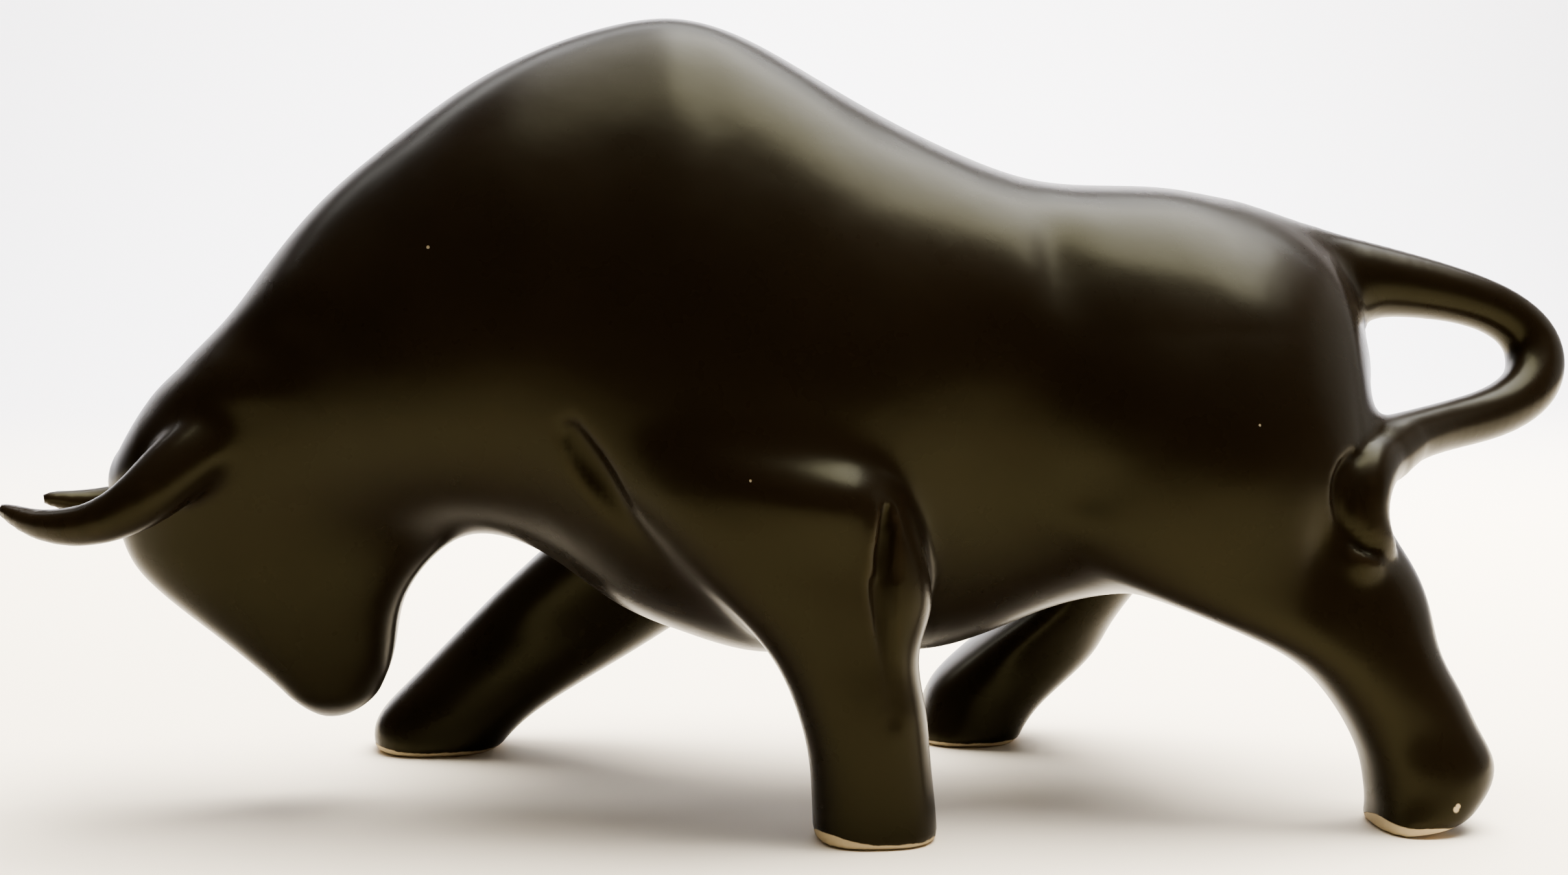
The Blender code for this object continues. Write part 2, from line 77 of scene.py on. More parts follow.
# A section: place along the part, shift to the side, half width, low edge, high edge,
# place of the widest line, squareness of the low side and of the high side (2 is round)
TRUNK = (
    (-136, 0, 15.0, 60.0, 76.0, 67, 2.0, 2.0),
    (-125, 0, 19.0, 58.0, 86.2, 75, 2.0, 2.0),
    (-112, 0, 22.0, 56.0, 102.5, 81, 2.0, 1.9),
    (-98, 0, 25.5, 55.0, 120.4, 86, 2.1, 1.9),
    (-82, 0, 30.5, 55.0, 134.7, 89, 2.2, 1.8),
    (-66, 0, 35.5, 56.0, 146.5, 91, 2.3, 1.8),
    (-50, 0, 40.0, 51.0, 154.8, 92, 2.3, 1.7),
    (-36, 0, 43.5, 41.0, 159.4, 86, 2.3, 1.7),
    (-22, 0, 46.4, 34.6, 161.0, 80, 2.3, 1.75),
    (-8, 0, 47.4, 30.6, 157.0, 77, 2.4, 1.8),
    (6, 0, 46.2, 30.0, 149.3, 79, 2.3, 1.9),
    (20, 0, 43.0, 29.3, 141.4, 85, 2.2, 1.9),
    (36, 0, 40.0, 30.8, 133.7, 88, 2.2, 2.0),
    (52, 0, 39.5, 37.4, 128.3, 85, 2.2, 2.1),
    (68, 0, 39.5, 41.5, 127.1, 80, 2.2, 2.2),
    (82, 0, 39.0, 44.0, 126.4, 77, 2.2, 2.2),
    (96, 0, 37.5, 50.5, 123.0, 78, 2.2, 2.1),
    (110, 0, 31.0, 56.0, 116.4, 83, 2.2, 2.1),
    (122, 0, 20.0, 62.0, 107.5, 87, 2.1, 2.0),
)
HEAD = (
    (14, 0, 7.5, -99.0, -89.0, -95, 2.2, 2.4),
    (21, 0, 10.5, -103.0, -85.5, -95, 2.4, 2.6),
    (27, 0, 12.2, -108.7, -82.8, -97, 2.6, 3.0),
    (34, 0, 14.0, -116.7, -81.2, -100, 2.6, 3.0),
    (41, 0, 15.6, -125.2, -79.6, -103, 2.6, 3.0),
    (48, 0, 17.0, -132.2, -75.5, -106, 2.6, 2.8),
    (56, 0, 18.3, -135.5, -69.0, -107, 2.5, 2.5),
    (66, 0, 19.6, -134.2, -62.0, -107, 2.4, 2.3),
    (74, 0, 20.0, -130.8, -58.0, -107, 2.3, 2.2),
    (82, 0, 19.4, -128.0, -58.0, -104, 2.2, 2.2),
    (90, 0, 18.0, -122.4, -60.0, -100, 2.2, 2.2),
)
# The legs' shifts are counted from half the stance, outwards positive
NEAR_FRONT_LEG = (
    (-4, 0.2, 11.2, 2.4, 26.4, 14, 2.6, 2.6),
    (6, 0.2, 11.2, 2.0, 25.8, 14, 2.6, 2.6),
    (16, 0.0, 11.4, 1.2, 24.8, 12, 2.5, 2.6),
    (26, -0.5, 11.8, -1.4, 23.8, 11, 2.4, 2.6),
    (37, -1.5, 12.4, -7.0, 22.8, 9, 2.4, 2.6),
    (46, -2.1, 13.2, -15.0, 25.0, 7, 2.4, 3.0),
    (54, -2.6, 14.0, -22.7, 24.0, 4, 2.4, 3.2),
    (62, -2.8, 14.4, -28.5, 21.5, 0, 2.4, 3.0),
    (72, -5.6, 14.6, -34.5, 16.0, -6, 2.4, 2.6),
    (84, -9.0, 14.6, -39.5, 8.0, -12, 2.2, 2.2),
)
FAR_FRONT_LEG = (
    (-4, -1.6, 11.8, -88.0, -65.0, -76, 2.5, 2.5),
    (2, -1.6, 11.9, -90.2, -60.4, -75, 2.5, 2.5),
    (7, -1.4, 12.0, -89.5, -55.2, -71, 2.5, 2.5),
    (14, -1.0, 12.2, -83.5, -44.5, -63, 2.4, 2.4),
    (21, -0.8, 12.5, -76.5, -32.5, -54, 2.4, 2.4),
    (28, -0.8, 13.0, -69.6, -21.2, -44, 2.4, 2.4),
    (38, -2.4, 13.8, -59.7, -6.5, -32, 2.4, 2.4),
    (48, -4.4, 14.4, -49.0, 5.8, -22, 2.4, 2.4),
    (60, -7.6, 14.8, -38.2, 12.0, -13, 2.4, 2.4),
    (74, -12.0, 14.8, -34.0, 12.0, -11, 2.2, 2.2),
    (84, -15.0, 14.6, -34.0, 10.0, -12, 2.2, 2.2),
)
NEAR_HIND_LEG = (
    (-4, 1.5, 11.2, 111.6, 128.0, 121, 2.5, 2.4),
    (2, 1.5, 11.4, 113.3, 131.8, 122, 2.5, 2.4),
    (8, 0.8, 11.5, 113.0, 136.6, 124, 2.5, 2.3),
    (13, 0.0, 11.6, 112.2, 137.8, 123, 2.5, 2.3),
    (19, -1.4, 11.7, 109.8, 135.2, 121, 2.5, 2.4),
    (26, -2.4, 12.0, 105.2, 131.9, 117, 2.5, 2.4),
    (34, -3.8, 12.6, 96.0, 127.9, 111, 2.5, 2.4),
    (42, -5.8, 13.6, 79.4, 126.4, 103, 2.5, 2.3),
    (50, -8.0, 15.0, 64.0, 123.8, 95, 2.1, 2.2),
    (60, -10.2, 16.8, 54.0, 117.4, 88, 1.9, 2.1),
    (72, -12.6, 18.0, 52.0, 113.4, 85, 1.8, 2.1),
    (86, -17.5, 18.0, 52.0, 111.0, 84, 2.2, 2.1),
    (98, -20.0, 17.0, 55.0, 107.0, 84, 2.2, 2.1),
)
FAR_HIND_LEG = (
    (-4, -3.6, 11.2, 33.0, 56.0, 45, 2.5, 2.5),
    (2, -3.6, 11.4, 34.0, 58.3, 47, 2.5, 2.5),
    (8, -3.2, 11.5, 35.4, 62.6, 50, 2.5, 2.5),
    (14, -2.8, 11.7, 38.2, 69.2, 54, 2.5, 2.5),
    (20, -2.6, 12.2, 44.4, 75.2, 59, 2.5, 2.5),
    (27, -3.6, 13.0, 53.0, 79.0, 65, 2.5, 2.4),
    (36, -5.4, 14.2, 62.0, 84.6, 71, 2.4, 2.4),
    (46, -8.0, 15.6, 64.0, 91.0, 75, 2.4, 2.3),
    (58, -11.4, 16.8, 63.0, 100.0, 80, 2.3, 2.2),
    (72, -14.4, 18.0, 53.0, 107.0, 83, 2.2, 2.1),
    (86, -17.5, 18.0, 52.0, 109.0, 84, 2.2, 2.1),
    (98, -20.0, 17.0, 55.0, 107.0, 84, 2.2, 2.1),
)
# Where each loft ends along its own axis, and how far its ends are rounded
TRUNK_ENDS = (-138, 124.8)
TRUNK_ROUNDS = (9, 14)
HEAD_ENDS = (16.7, 95)
HEAD_ROUNDS = (6, 12)
FRONT_LEG_ENDS = (-30, 88)
FRONT_LEG_ROUNDS = (10, 22)
HIND_LEG_ENDS = (-30, 104)
HIND_LEG_ROUNDS = (10, 26)

# Round runs: points along the middle, and the radius there as a share of the root's
HORN_PATH = (
    (-110, 14.0, 77.5), (-117.5, 19.5, 74.0), (-124, 24.0, 68.6), (-129.5, 26.2, 64.4),
    (-136, 26.2, 61.5), (-143, 24.4, 60.5), (-149.0, 21.4, 61.0), (-153.2, 18.6, 62.1),
    (-155.6, 17.0, 62.9),
)
HORN_TAPER = (1.0, 0.97, 0.85, 0.71, 0.58, 0.48, 0.37, 0.27, 0.18)
FAR_HORN_DROP = 2.0
TAIL_PATH = (
    (96, 0.0, 110.0), (112, 0.0, 108.8), (125, 0.0, 107.2), (139, 0.0, 105.0), (152, 0.0, 101.4),
    (160.2, 0.0, 96.0), (162.2, -2.0, 89.8), (158.8, -6.0, 84.0), (149.8, -11.0, 79.7), (138, -17.0, 77.5),
    (127.0, -23.5, 75.6), (120.0, -29.0, 73.0),
)
TAIL_TAPER = (1.7, 1.45, 1.28, 1.04, 0.90, 0.93, 1.0, 0.96, 0.89, 0.84, 0.84, 0.86)
TUFT_PATH = (
    (123.2, -26.5, 74.4), (118.2, -31.0, 72.4), (113.4, -35.5, 70.2), (110.8, -38.8, 66.2),
    (110.2, -39.8, 61.8), (111.4, -40.4, 58.2), (113.8, -40.8, 55.8), (116.2, -40.8, 54.2),
)
TUFT_TAPER = (0.84, 0.88, 1.0, 1.0, 1.0, 0.88, 0.6, 0.25)
SHOULDER_ROLL = (
    (-26, 40.0, 75.5), (-17, 43.6, 71.6), (-8, 45.9, 68.6),
    (0, 46.8, 66.6), (6, 46.4, 65.7), (10.2, 44.0, 66.0),
)
ROLL_RADII = (3.0, 4.8, 6.0, 6.4, 6.0, 4.6)
ARMPIT = (
    (15.2, -49.4, 65.0), (14.6, -50.6, 58.0), (14.4, -52.0, 49.0), (15, -52.9, 39.0), (16.5, -53.6, 29.0),
)
ARMPIT_TAPER = (0.6, 1.0, 0.9, 0.7, 0.4)
NECK_FOLD = (
    (-44, -40.6, 79.5), (-41, -40.9, 74.0), (-38, -41.1, 69.0), (-34.5, -41.6, 63.0), (-29, -42.6, 55.0),
)
FOLD_TAPER = (0.6, 1.0, 0.95, 0.75, 0.5)

# Soft swellings (+) and hollows (-) of both sides: middle, size each way, height
HIP = ((82, 42, 80), (22, 20, 24), 2.6)
FLANK = ((52.5, 34, 112), (6, 14, 14), -1.8)
NECK_ROLL = ((-96, 21, 105), (11, 10, 8), 1.0)
POLL = ((-110, 21, 88), (8, 9, 6), 1.0)
NECK_DIP = ((-102.5, 23, 95.5), (7, 9, 5), -0.9)
HUMP_DIP = ((-17, 24, 145), (5, 12, 16), -0.5)
# The same on the near side only
HOCK_KNOB = ((110, -46, 54.3), (5.5, 8, 4), 2.0)
HOCK_HOLLOW = ((101.5, -45.5, 54.5), (5, 9, 8), -1.8)
BELLY_DIMPLE = ((55.4, -41, 66.5), (6, 8, 5.5), -1.0)

# Widths of the soft joints between bodies
HEAD_JOINT = 12
ROLL_JOINT = 8
NEAR_FRONT_JOINT = 8
FAR_FRONT_JOINT = 9
NEAR_HIND_JOINT = 21
FAR_HIND_JOINT = 13
HORN_JOINT = 4
TAIL_JOINT = 11
TUFT_JOINT = 1.2
ARMPIT_EDGE = 2
FOLD_EDGE = 4

# The near hind foot stands on its front; from here to here along X its sole rises by HEEL_LIFT
HEEL = (118, 132)

# A body's distance is worked out this near to it, and counts as FAR_AWAY beyond
REACH = 24.0
FAR_AWAY = 60.0
# The least height of half a section, and how many straight steps a run takes from point to point
THINNEST = 0.5
STEPS_PER_POINT = 5

# The fine grid, in shares: where the field's middle lies, the grid's box, how many cells a coarse
# step spans, how near the skin the field is exact, and the step that its slope is taken over
FIELD_MIDDLE = (6.4, -0.36, 0.0)
GRID_BOX = ((-164, -62, -6.5), (178, 62, 169))
COARSER = 4
BAND_SHARES = 9.0
PROBE_SHARES = 0.05
LEAST_STEEPNESS = 0.05
# Rounds of evening out, the radius of a bend that counts as crisp, and rounds that soften the bends
SMOOTHING = 2
CRISP_RADIUS_SHARES = 3.0
RIDGE_SOFTENING = 2

# Fine grooves, as a path and a radius: two leaf lines of the tuft and the line down the near foreleg
GROOVE_SOFTNESS = 1.2
FINE_GROOVES = (
    (((109, -41.5, 74), (107, -43, 73), (104.5, -44.5, 70), (104, -45.5, 66), (105, -45.5, 61.5),
      (107.5, -46, 58), (110.5, -46.5, 56), (114, -47, 55.5)), 1.3),
    (((109, -45, 68.5), (109.5, -46, 66), (110, -46.5, 63), (111, -47, 60.5), (112.5, -47, 58.5)), 0.9),
    (((13.5, -52, 51.5), (14, -52, 46), (15, -52.5, 39), (16, -53, 32), (17, -53.5, 25)), 2.0),
)

# Bare clay, in metres: how ragged and how sharp its edge is, and the grain and colour of its grit
RIM_RAGGED = 0.0010
RIM_EDGE = 0.00015
RAGGED_PER_METRE = 220.0
CLAY_GRIT = (0.34, 0.26, 0.15, 1.0)
CLAY_MOTTLE = 0.4
CLAY_MOTTLES_PER_METRE = 900.0
CLAY_ROUGHNESS = 0.8
CLAY_GRAIN = 0.00005
GRAINS_PER_METRE = 1800.0
# Where the clay reaches higher: middle, reach, extra height
RIM_PATCHES = (
    ((-0.003, -0.048, 0.0), 0.011, 0.0020),
    ((0.106, -0.046, 0.0), 0.010, 0.0024),
    ((0.115, -0.053, 0.0), 0.011, 0.0012),
    ((-0.095, 0.036, 0.0), 0.010, 0.0010),
)
# Chips and specks of the near side, with a radius; they are placed edge on, so their Y is 0
CHIPS = (((0.1200, 0.0, 0.0058), 0.0008), ((0.1204, 0.0, 0.0064), 0.0007))
CHIP_CORE = 0.6
SPECKS = (
    ((-0.0172, 0.0, 0.0714), 0.0003),
    ((0.0811, 0.0, 0.0806), 0.0003),
    ((-0.0777, 0.0, 0.1146), 0.0004),
)
SPECK_CORE = 0.5
SPECK_STRENGTH = 0.35
NEAR_SIDE_FADE = 0.001

# Glaze: pinholes, thickness and gloss
PINHOLES_PER_METRE = 55.0
PINHOLE_RADIUS = 0.00022
PINHOLE_DEPTH = 0.00005
PINHOLE_STRENGTH = 0.35
GLAZE_THICKNESS = 0.00025
GLAZE_IOR = 1.5
GLAZE_SHEEN = 0.075
GLAZE_TINT = (0.95, 0.9, 0.45, 1.0)
# Where the glaze runs thin: on edges that bend out more than THIN_FROM, and in faint clouds
THIN_FROM = 0.25
THIN_ON_EDGES = 0.85
CLOUDS_PER_METRE = 28.0
CLOUD_RANGE = (0.3, 0.75)
THIN_IN_CLOUDS = 0.25
# Changes of roughness: smears, and creases that bend in more than CREASE_FROM
SMEARS_PER_METRE = 60.0
SMEAR_DEPTH = 0.12
CREASE_FROM = 0.2
CREASE_ROUGHER = 0.08
# Waves of the glaze, their heights counted in the grain
RIPPLES_PER_METRE = 75.0
RIPPLE_HEIGHT = 3.2
PEEL_PER_METRE = 520.0
PEEL_HEIGHT = 0.22

# Paper: where its colour starts to change behind the figure, its tooth and its finish
PAPER_CHANGE = 0.25
TOOTH_PER_METRE = 600.0
TOOTH_HEIGHT = 0.00002
PAPER_ROUGHNESS = 0.7
TOOTH_ROUGHNESS = 0.1
PAPER_SHEEN = 0.2

# Stage, in metres
SWEEP_FRONT = 2.0
SWEEP_BACK = 1.2
SWEEP_BEND = 0.3
SWEEP_TOP = 0.85
SWEEP_WIDTH = 6.0
SWEEP_STEPS = 16
AIM_X = -0.0064
AIM_Y = 0.0004
SENSOR_WIDTH = 36.0
ROOM_COLOUR = (1.0, 0.95, 0.88, 1.0)
ROOM_LIGHT = 0.02
KEY_COLOUR = (1.0, 0.98, 0.95)
# A lamp: name, the setting with its power, place, aim, width and depth, colour, seen in the glaze
LAMPS = (
    ("overhead softbox", "key", (0.33, 0.12, 0.9), (0.33, 0.12, 0.0), (0.75, 0.75), KEY_COLOUR, True),
    ("left softbox", "left", (-0.20, 0.10, 0.9), (-0.20, 0.10, 0.0), (0.3, 0.7), KEY_COLOUR, True),
    ("fill", "fill", (0.30, 0.32, 0.8), (0.20, 0.20, 0.0), (0.8, 0.8), KEY_COLOUR, False),
    ("backdrop wash", "wash", (0.0, 0.7, 0.9), (0.0, 1.2, 0.35), (1.2, 1.2), (0.97, 0.97, 1.0), True),
    ("side card", "side", (0.95, 0.15, 0.35), (0.0, 0.0, 0.08), (0.7, 0.6), (1.0, 0.97, 0.90), True),
)


def spline(places, values, at):
    """Natural cubic curve through the values: what it is at each place, and its slope there."""
    x = np.asarray(places, float)
    y = np.asarray(values, float)
    step = np.diff(x)
    rows = np.eye(len(x))
    right = np.zeros(len(x))
    for i in range(1, len(x) - 1):
        rows[i, i - 1:i + 2] = step[i - 1], 2 * (step[i - 1] + step[i]), step[i]
        right[i] = 6 * ((y[i + 1] - y[i]) / step[i] - (y[i] - y[i - 1]) / step[i - 1])
    bend = np.linalg.solve(rows, right)
    at = np.clip(at, x[0], x[-1])
    i = np.clip(np.searchsorted(x, at) - 1, 0, len(x) - 2)
    before = at - x[i]
    after = x[i + 1] - at
    start = y[i] / step[i] - bend[i] * step[i] / 6
    end = y[i + 1] / step[i] - bend[i + 1] * step[i] / 6
    value = (bend[i] * after ** 3 + bend[i + 1] * before ** 3) / (6 * step[i])
    value = value + start * after + end * before
    slope = (bend[i + 1] * before ** 2 - bend[i] * after ** 2) / (2 * step[i]) - start + end
    return value, slope


def within(points, low, high):
    """Which points lie within REACH of a box."""
    return np.all((points > np.asarray(low) - REACH) & (points < np.asarray(high) + REACH), axis=1)


def stacked(points, sections, along, ends, rounds, side=1.0, stance=0.0):
    """Distance to a body lofted through sections that are stacked along X (0) or Z (2)."""
    rows = np.asarray(sections, float)
    across = 2 - along
    middle = side * (stance + rows[:, 1])
    low = np.zeros(3)
    high = np.zeros(3)
    low[along], high[along] = ends
    low[1], high[1] = (middle - rows[:, 2]).min(), (middle + rows[:, 2]).max()
    low[across], high[across] = rows[:, 3].min(), rows[:, 4].max()
    distance = np.full(len(points), FAR_AWAY)
    near = within(points, low, high)
    if not near.any():
        return distance
    place = points[near, along]
    columns = [middle] + [rows[:, k] for k in range(2, 8)]
    curves = [spline(rows[:, 0], column, place) for column in columns]
    (centre, centre_slope), (wide, wide_slope), (bottom, bottom_slope), (top, top_slope) = curves[:4]
    (waist, waist_slope), (square_low, _), (square_high, _) = curves[4:]
    upper = points[near, across] > waist
    tall = np.maximum(np.where(upper, top - waist, waist - bottom), THINNEST)
    tall_slope = np.where(upper, top_slope - waist_slope, waist_slope - bottom_slope)
    power = np.where(upper, square_high, square_low)
    out = points[near, 1] - centre
    up = points[near, across] - waist
    a = np.abs(out) / wide + 1e-9
    b = np.abs(up) / tall + 1e-9
    ring = (a ** power + b ** power) ** (1 / power)
    head_end = np.maximum(0, (ends[0] + rounds[0] - place) / rounds[0])
    tail_end = np.maximum(0, (place - ends[1] + rounds[1]) / rounds[1])
    cap = head_end + tail_end
    cap_slope = np.where(tail_end > 0, 1 / rounds[1], 0) - np.where(head_end > 0, 1 / rounds[0], 0)
    level = np.sqrt(ring * ring + cap * cap)
    part_a = (a / ring) ** (power - 1)
    part_b = (b / ring) ** (power - 1)
    a_slope = (-np.sign(out) * centre_slope - a * wide_slope) / wide
    b_slope = (-np.sign(up) * waist_slope - b * tall_slope) / tall
    steep = (part_a * a_slope + part_b * b_slope) * ring / level + cap / level * cap_slope
    steep_out = part_a / wide * ring / level
    steep_up = part_b / tall * ring / level
    distance[near] = (level - 1) / np.sqrt(steep ** 2 + steep_out ** 2 + steep_up ** 2 + 1e-12)
    return distance


def tube(points, path, radii):
    """Distance to a round run along a smooth path, its radius changing on the way."""
    path = np.asarray(path, float)
    knots = np.arange(len(path))
    fine = np.linspace(0, len(path) - 1, (len(path) - 1) * STEPS_PER_POINT + 1)
    centres = np.stack([spline(knots, path[:, k], fine)[0] for k in range(3)], -1)
    radius = spline(knots, radii, fine)[0]
    distance = np.full(len(points), FAR_AWAY)
    near = within(points, centres.min(0) - radius.max(), centres.max(0) + radius.max())
    close = points[near]
    best = np.full(len(close), FAR_AWAY)
    for start, end, first, last in zip(centres, centres[1:], radius, radius[1:]):
        run = end - start
        share = np.clip((close - start) @ run / (run @ run), 0, 1)
        away = np.linalg.norm(close - start - share[:, None] * run, axis=1)
        best = np.minimum(best, away - first - share * (last - first))
    distance[near] = best
    return distance


def blend(first, second, width):
    """Union of two bodies with a soft joint of this width."""
    overlap = np.maximum(width - np.abs(first - second), 0) / width
    return np.minimum(first, second) - overlap ** 3 * width / 6


def carve(body, tool, width):
    """The body without the tool, with a soft edge of this width."""
    overlap = np.maximum(width - np.abs(body + tool), 0) / width
    return np.maximum(body, -tool) + overlap ** 3 * width / 6


def swelling(points, middle, size, height):
    """A soft rise of the skin around a place."""
    offset = (points - np.asarray(middle, float)) / np.asarray(size, float)
    return height * np.exp(-(offset * offset).sum(1))


def mirrored(path):
    """The same path on the far side."""
    return [(x, -y, z) for x, y, z in path]


def limbs(points, body):
    """The four legs joined to the trunk, the near ones at -Y."""
    stance = STANCE / SHARE / 2
    for sections, side, joint in (
        (NEAR_FRONT_LEG, -1, NEAR_FRONT_JOINT),
        (FAR_FRONT_LEG, 1, FAR_FRONT_JOINT),
    ):
        leg = stacked(points, sections, 2, FRONT_LEG_ENDS, FRONT_LEG_ROUNDS, side, stance)
        body = blend(body, leg, joint)
    for sections, side, joint in (
        (NEAR_HIND_LEG, -1, NEAR_HIND_JOINT),
        (FAR_HIND_LEG, 1, FAR_HIND_JOINT),
    ):
        leg = stacked(points, sections, 2, HIND_LEG_ENDS, HIND_LEG_ROUNDS, side, stance)
        body = blend(body, leg, joint)
    return body


def horns(points, body):
    """Both horns; the far one sits a little lower, as cast."""
    root = HORN_ROOT_RADIUS / SHARE
    radii = [root * share for share in HORN_TAPER]
    last = len(HORN_PATH) - 1
    far = [(x, y, z - FAR_HORN_DROP * k / last) for k, (x, y, z) in enumerate(HORN_PATH)]
    body = blend(body, tube(points, mirrored(HORN_PATH), radii), HORN_JOINT)
    return blend(body, tube(points, far, radii), HORN_JOINT)


def tail(points, body):
    """The looped tail, and its tuft laid against the near thigh."""
    radius = TAIL_RADIUS / SHARE
    tuft = TUFT_RADIUS / SHARE
    body = blend(body, tube(points, TAIL_PATH, [radius * share for share in TAIL_TAPER]), TAIL_JOINT)
    return blend(body, tube(points, TUFT_PATH, [tuft * share for share in TUFT_TAPER]), TUFT_JOINT)


def carving(points, body):
    """Armpit, neck fold, and the soft modelling of neck, hump, hips, flanks, belly and hock."""
    grooves = (
        (ARMPIT, ARMPIT_RADIUS, ARMPIT_TAPER, ARMPIT_EDGE),
        (NECK_FOLD, FOLD_RADIUS, FOLD_TAPER, FOLD_EDGE),
    )
    for path, radius, taper, edge in grooves:
        body = carve(body, tube(points, path, [radius / SHARE * share for share in taper]), edge)
    for middle, size, height in (HIP, FLANK, NECK_ROLL, NECK_DIP, POLL, HUMP_DIP):
        for side in (-1, 1):
            place = (middle[0], side * middle[1], middle[2])
            body = body - swelling(points, place, size, height)
    for middle, size, height in (HOCK_KNOB, HOCK_HOLLOW, BELLY_DIMPLE):
        body = body - swelling(points, middle, size, height)
    return body


def standing_bull(points):
    """Signed distance, in shares, from the bull's skin, as if its legs went on below the ground."""
    body = stacked(points, TRUNK, 0, TRUNK_ENDS, TRUNK_ROUNDS)
    body = blend(body, stacked(points, HEAD, 2, HEAD_ENDS, HEAD_ROUNDS), HEAD_JOINT)
    for path in (SHOULDER_ROLL, mirrored(SHOULDER_ROLL)):
        body = blend(body, tube(points, path, ROLL_RADII), ROLL_JOINT)
    body = limbs(points, body)
    body = carving(points, body)
    body = horns(points, body)
    return tail(points, body)


def grounded(points, body):
    """The body cut off flat at the ground, with rounded rims to its soles and the near heel lifted."""
    width = 2 * SOLE_ROUND / SHARE
    heel_start, heel_end = HEEL
    heel = np.clip((points[:, 0] - heel_start) / (heel_end - heel_start), 0, 2) * HEEL_LIFT / SHARE
    ground = heel - points[:, 2]
    overlap = np.maximum(width - np.abs(body - ground), 0)
    return np.maximum(body, ground) + overlap ** 2 / (4 * width)


def fine_carving(points, body, depth):
    """Grooves too small for the solid."""
    for path, radius in FINE_GROOVES:
        body = carve(body, tube(points, path, [radius * depth] * len(path)), GROOVE_SOFTNESS)
    return body


def near_the_skin(field, low, counts, step):
    """The field on a fine grid, worked out only where a coarser grid shows that the skin is near."""
    fine = [low[k] + step * np.arange(counts[k]) for k in range(3)]
    rough = [axis[::COARSER] for axis in fine]
    grid = np.stack(np.meshgrid(*rough, indexing="ij"), -1).reshape(-1, 3)
    coarse = field(grid).reshape([len(axis) for axis in rough])
    half = COARSER // 2
    nearest = [
        np.minimum((np.arange(count) + half) // COARSER, len(axis) - 1)
        for count, axis in zip(counts, rough)
    ]
    value = coarse[np.ix_(*nearest)]
    places = np.argwhere(np.abs(value) < BAND_SHARES)
    exact = field(np.stack([fine[k][places[:, k]] for k in range(3)], -1))
    value[tuple(places.T)] = exact
    return value


def net(field, low, high, step):
    """Points and four-sided faces of the skin: one point in each grid cell that it crosses."""
    low = np.asarray(low, float)
    counts = [COARSER * int(np.ceil((b - a) / step / COARSER)) + 1 for a, b in zip(low, high)]
    value = near_the_skin(field, low, counts, step)
    inside = value < 0
    corners = [(i, j, k) for i in (0, 1) for j in (0, 1) for k in (0, 1)]

    def at(corner):
        return tuple(slice(corner[k], counts[k] - 1 + corner[k]) for k in range(3))

    filled = sum(inside[at(corner)].astype(int) for corner in corners)
    crossed = (filled > 0) & (filled < len(corners))
    number = np.full(crossed.shape, -1)
    number[crossed] = np.arange(crossed.sum())
    total = np.zeros((crossed.sum(), 3))
    found = np.zeros(crossed.sum())
    for corner in corners:
        for k in range(3):
            if corner[k]:
                continue
            other = tuple(1 if n == k else corner[n] for n in range(3))
            start = value[at(corner)][crossed]
            end = value[at(other)][crossed]
            changes = (start < 0) != (end < 0)
            share = np.where(changes, start / np.where(changes, start - end, 1), 0)
            place = np.tile(np.array(corner, float), (len(start), 1))
            place[:, k] += share
            total += place * changes[:, None]
            found += changes
    points = (total / found[:, None] + np.argwhere(crossed)) * step + low
    faces = []
    for k in range(3):
        first, second = [n for n in range(3) if n != k]
        start = [slice(1, -1)] * 3
        start[k] = slice(0, counts[k] - 1)
        end = [slice(1, -1)] * 3
        end[k] = slice(1, counts[k])
        leaving = inside[tuple(start)] & ~inside[tuple(end)]
        entering = ~inside[tuple(start)] & inside[tuple(end)]
        for turned, which in ((k == 1, leaving), (k != 1, entering)):
            cell = np.argwhere(which) + [0 if n == k else 1 for n in range(3)]
            ring = []
            for back_first, back_second in ((1, 1), (0, 1), (0, 0), (1, 0)):
                around = cell.copy()
                around[:, first] -= back_first
                around[:, second] -= back_second
                ring.append(number[tuple(around.T)])
            ring = np.stack(ring, -1)
            faces.append(ring[:, ::-1] if turned else ring)
    return points, np.concatenate(faces)


def slope_of(field, points):
    """The field's slope at each point."""
    slope = np.zeros_like(points)
    for k in range(3):
        step = np.zeros(3)
        step[k] = PROBE_SHARES
        slope[:, k] = (field(points + step) - field(points - step)) / (2 * PROBE_SHARES)
    return slope


def settled(field, points, rounds):
    """The points moved along the slope onto the skin, at most one share at a time."""
    for _ in range(rounds):
        slope = slope_of(field, points)
        steepness = np.maximum((slope * slope).sum(1), LEAST_STEEPNESS)
        move = (field(points) / steepness)[:, None] * slope
        length = np.linalg.norm(move, axis=1, keepdims=True)
        points = points - move / np.maximum(length, 1)
    return points


def neighbours_mean(points, faces):
    """The mean place of each point's neighbours."""
    pairs = np.concatenate([faces[:, [k, (k + 1) % 4]] for k in range(4)])
    pairs = np.concatenate([pairs, pairs[:, ::-1]])
    total = np.stack([np.bincount(pairs[:, 0], points[pairs[:, 1], k], len(points)) for k in range(3)], -1)
    return total / np.bincount(pairs[:, 0], minlength=len(points))[:, None]


def ridges(points, faces, normals, step):
    """How sharply the skin bends out at each point: 1 on a crisp edge, 0 on flat skin, -1 in a crease."""
    bend = ((points - neighbours_mean(points, faces)) * normals).sum(1)
    bend = bend * 4 * CRISP_RADIUS_SHARES / step ** 2
    bend = np.repeat(bend[:, None], 3, 1)
    for _ in range(RIDGE_SOFTENING):
        bend = (bend + neighbours_mean(bend, faces)) / 2
    return np.clip(bend[:, 0], -1, 1)


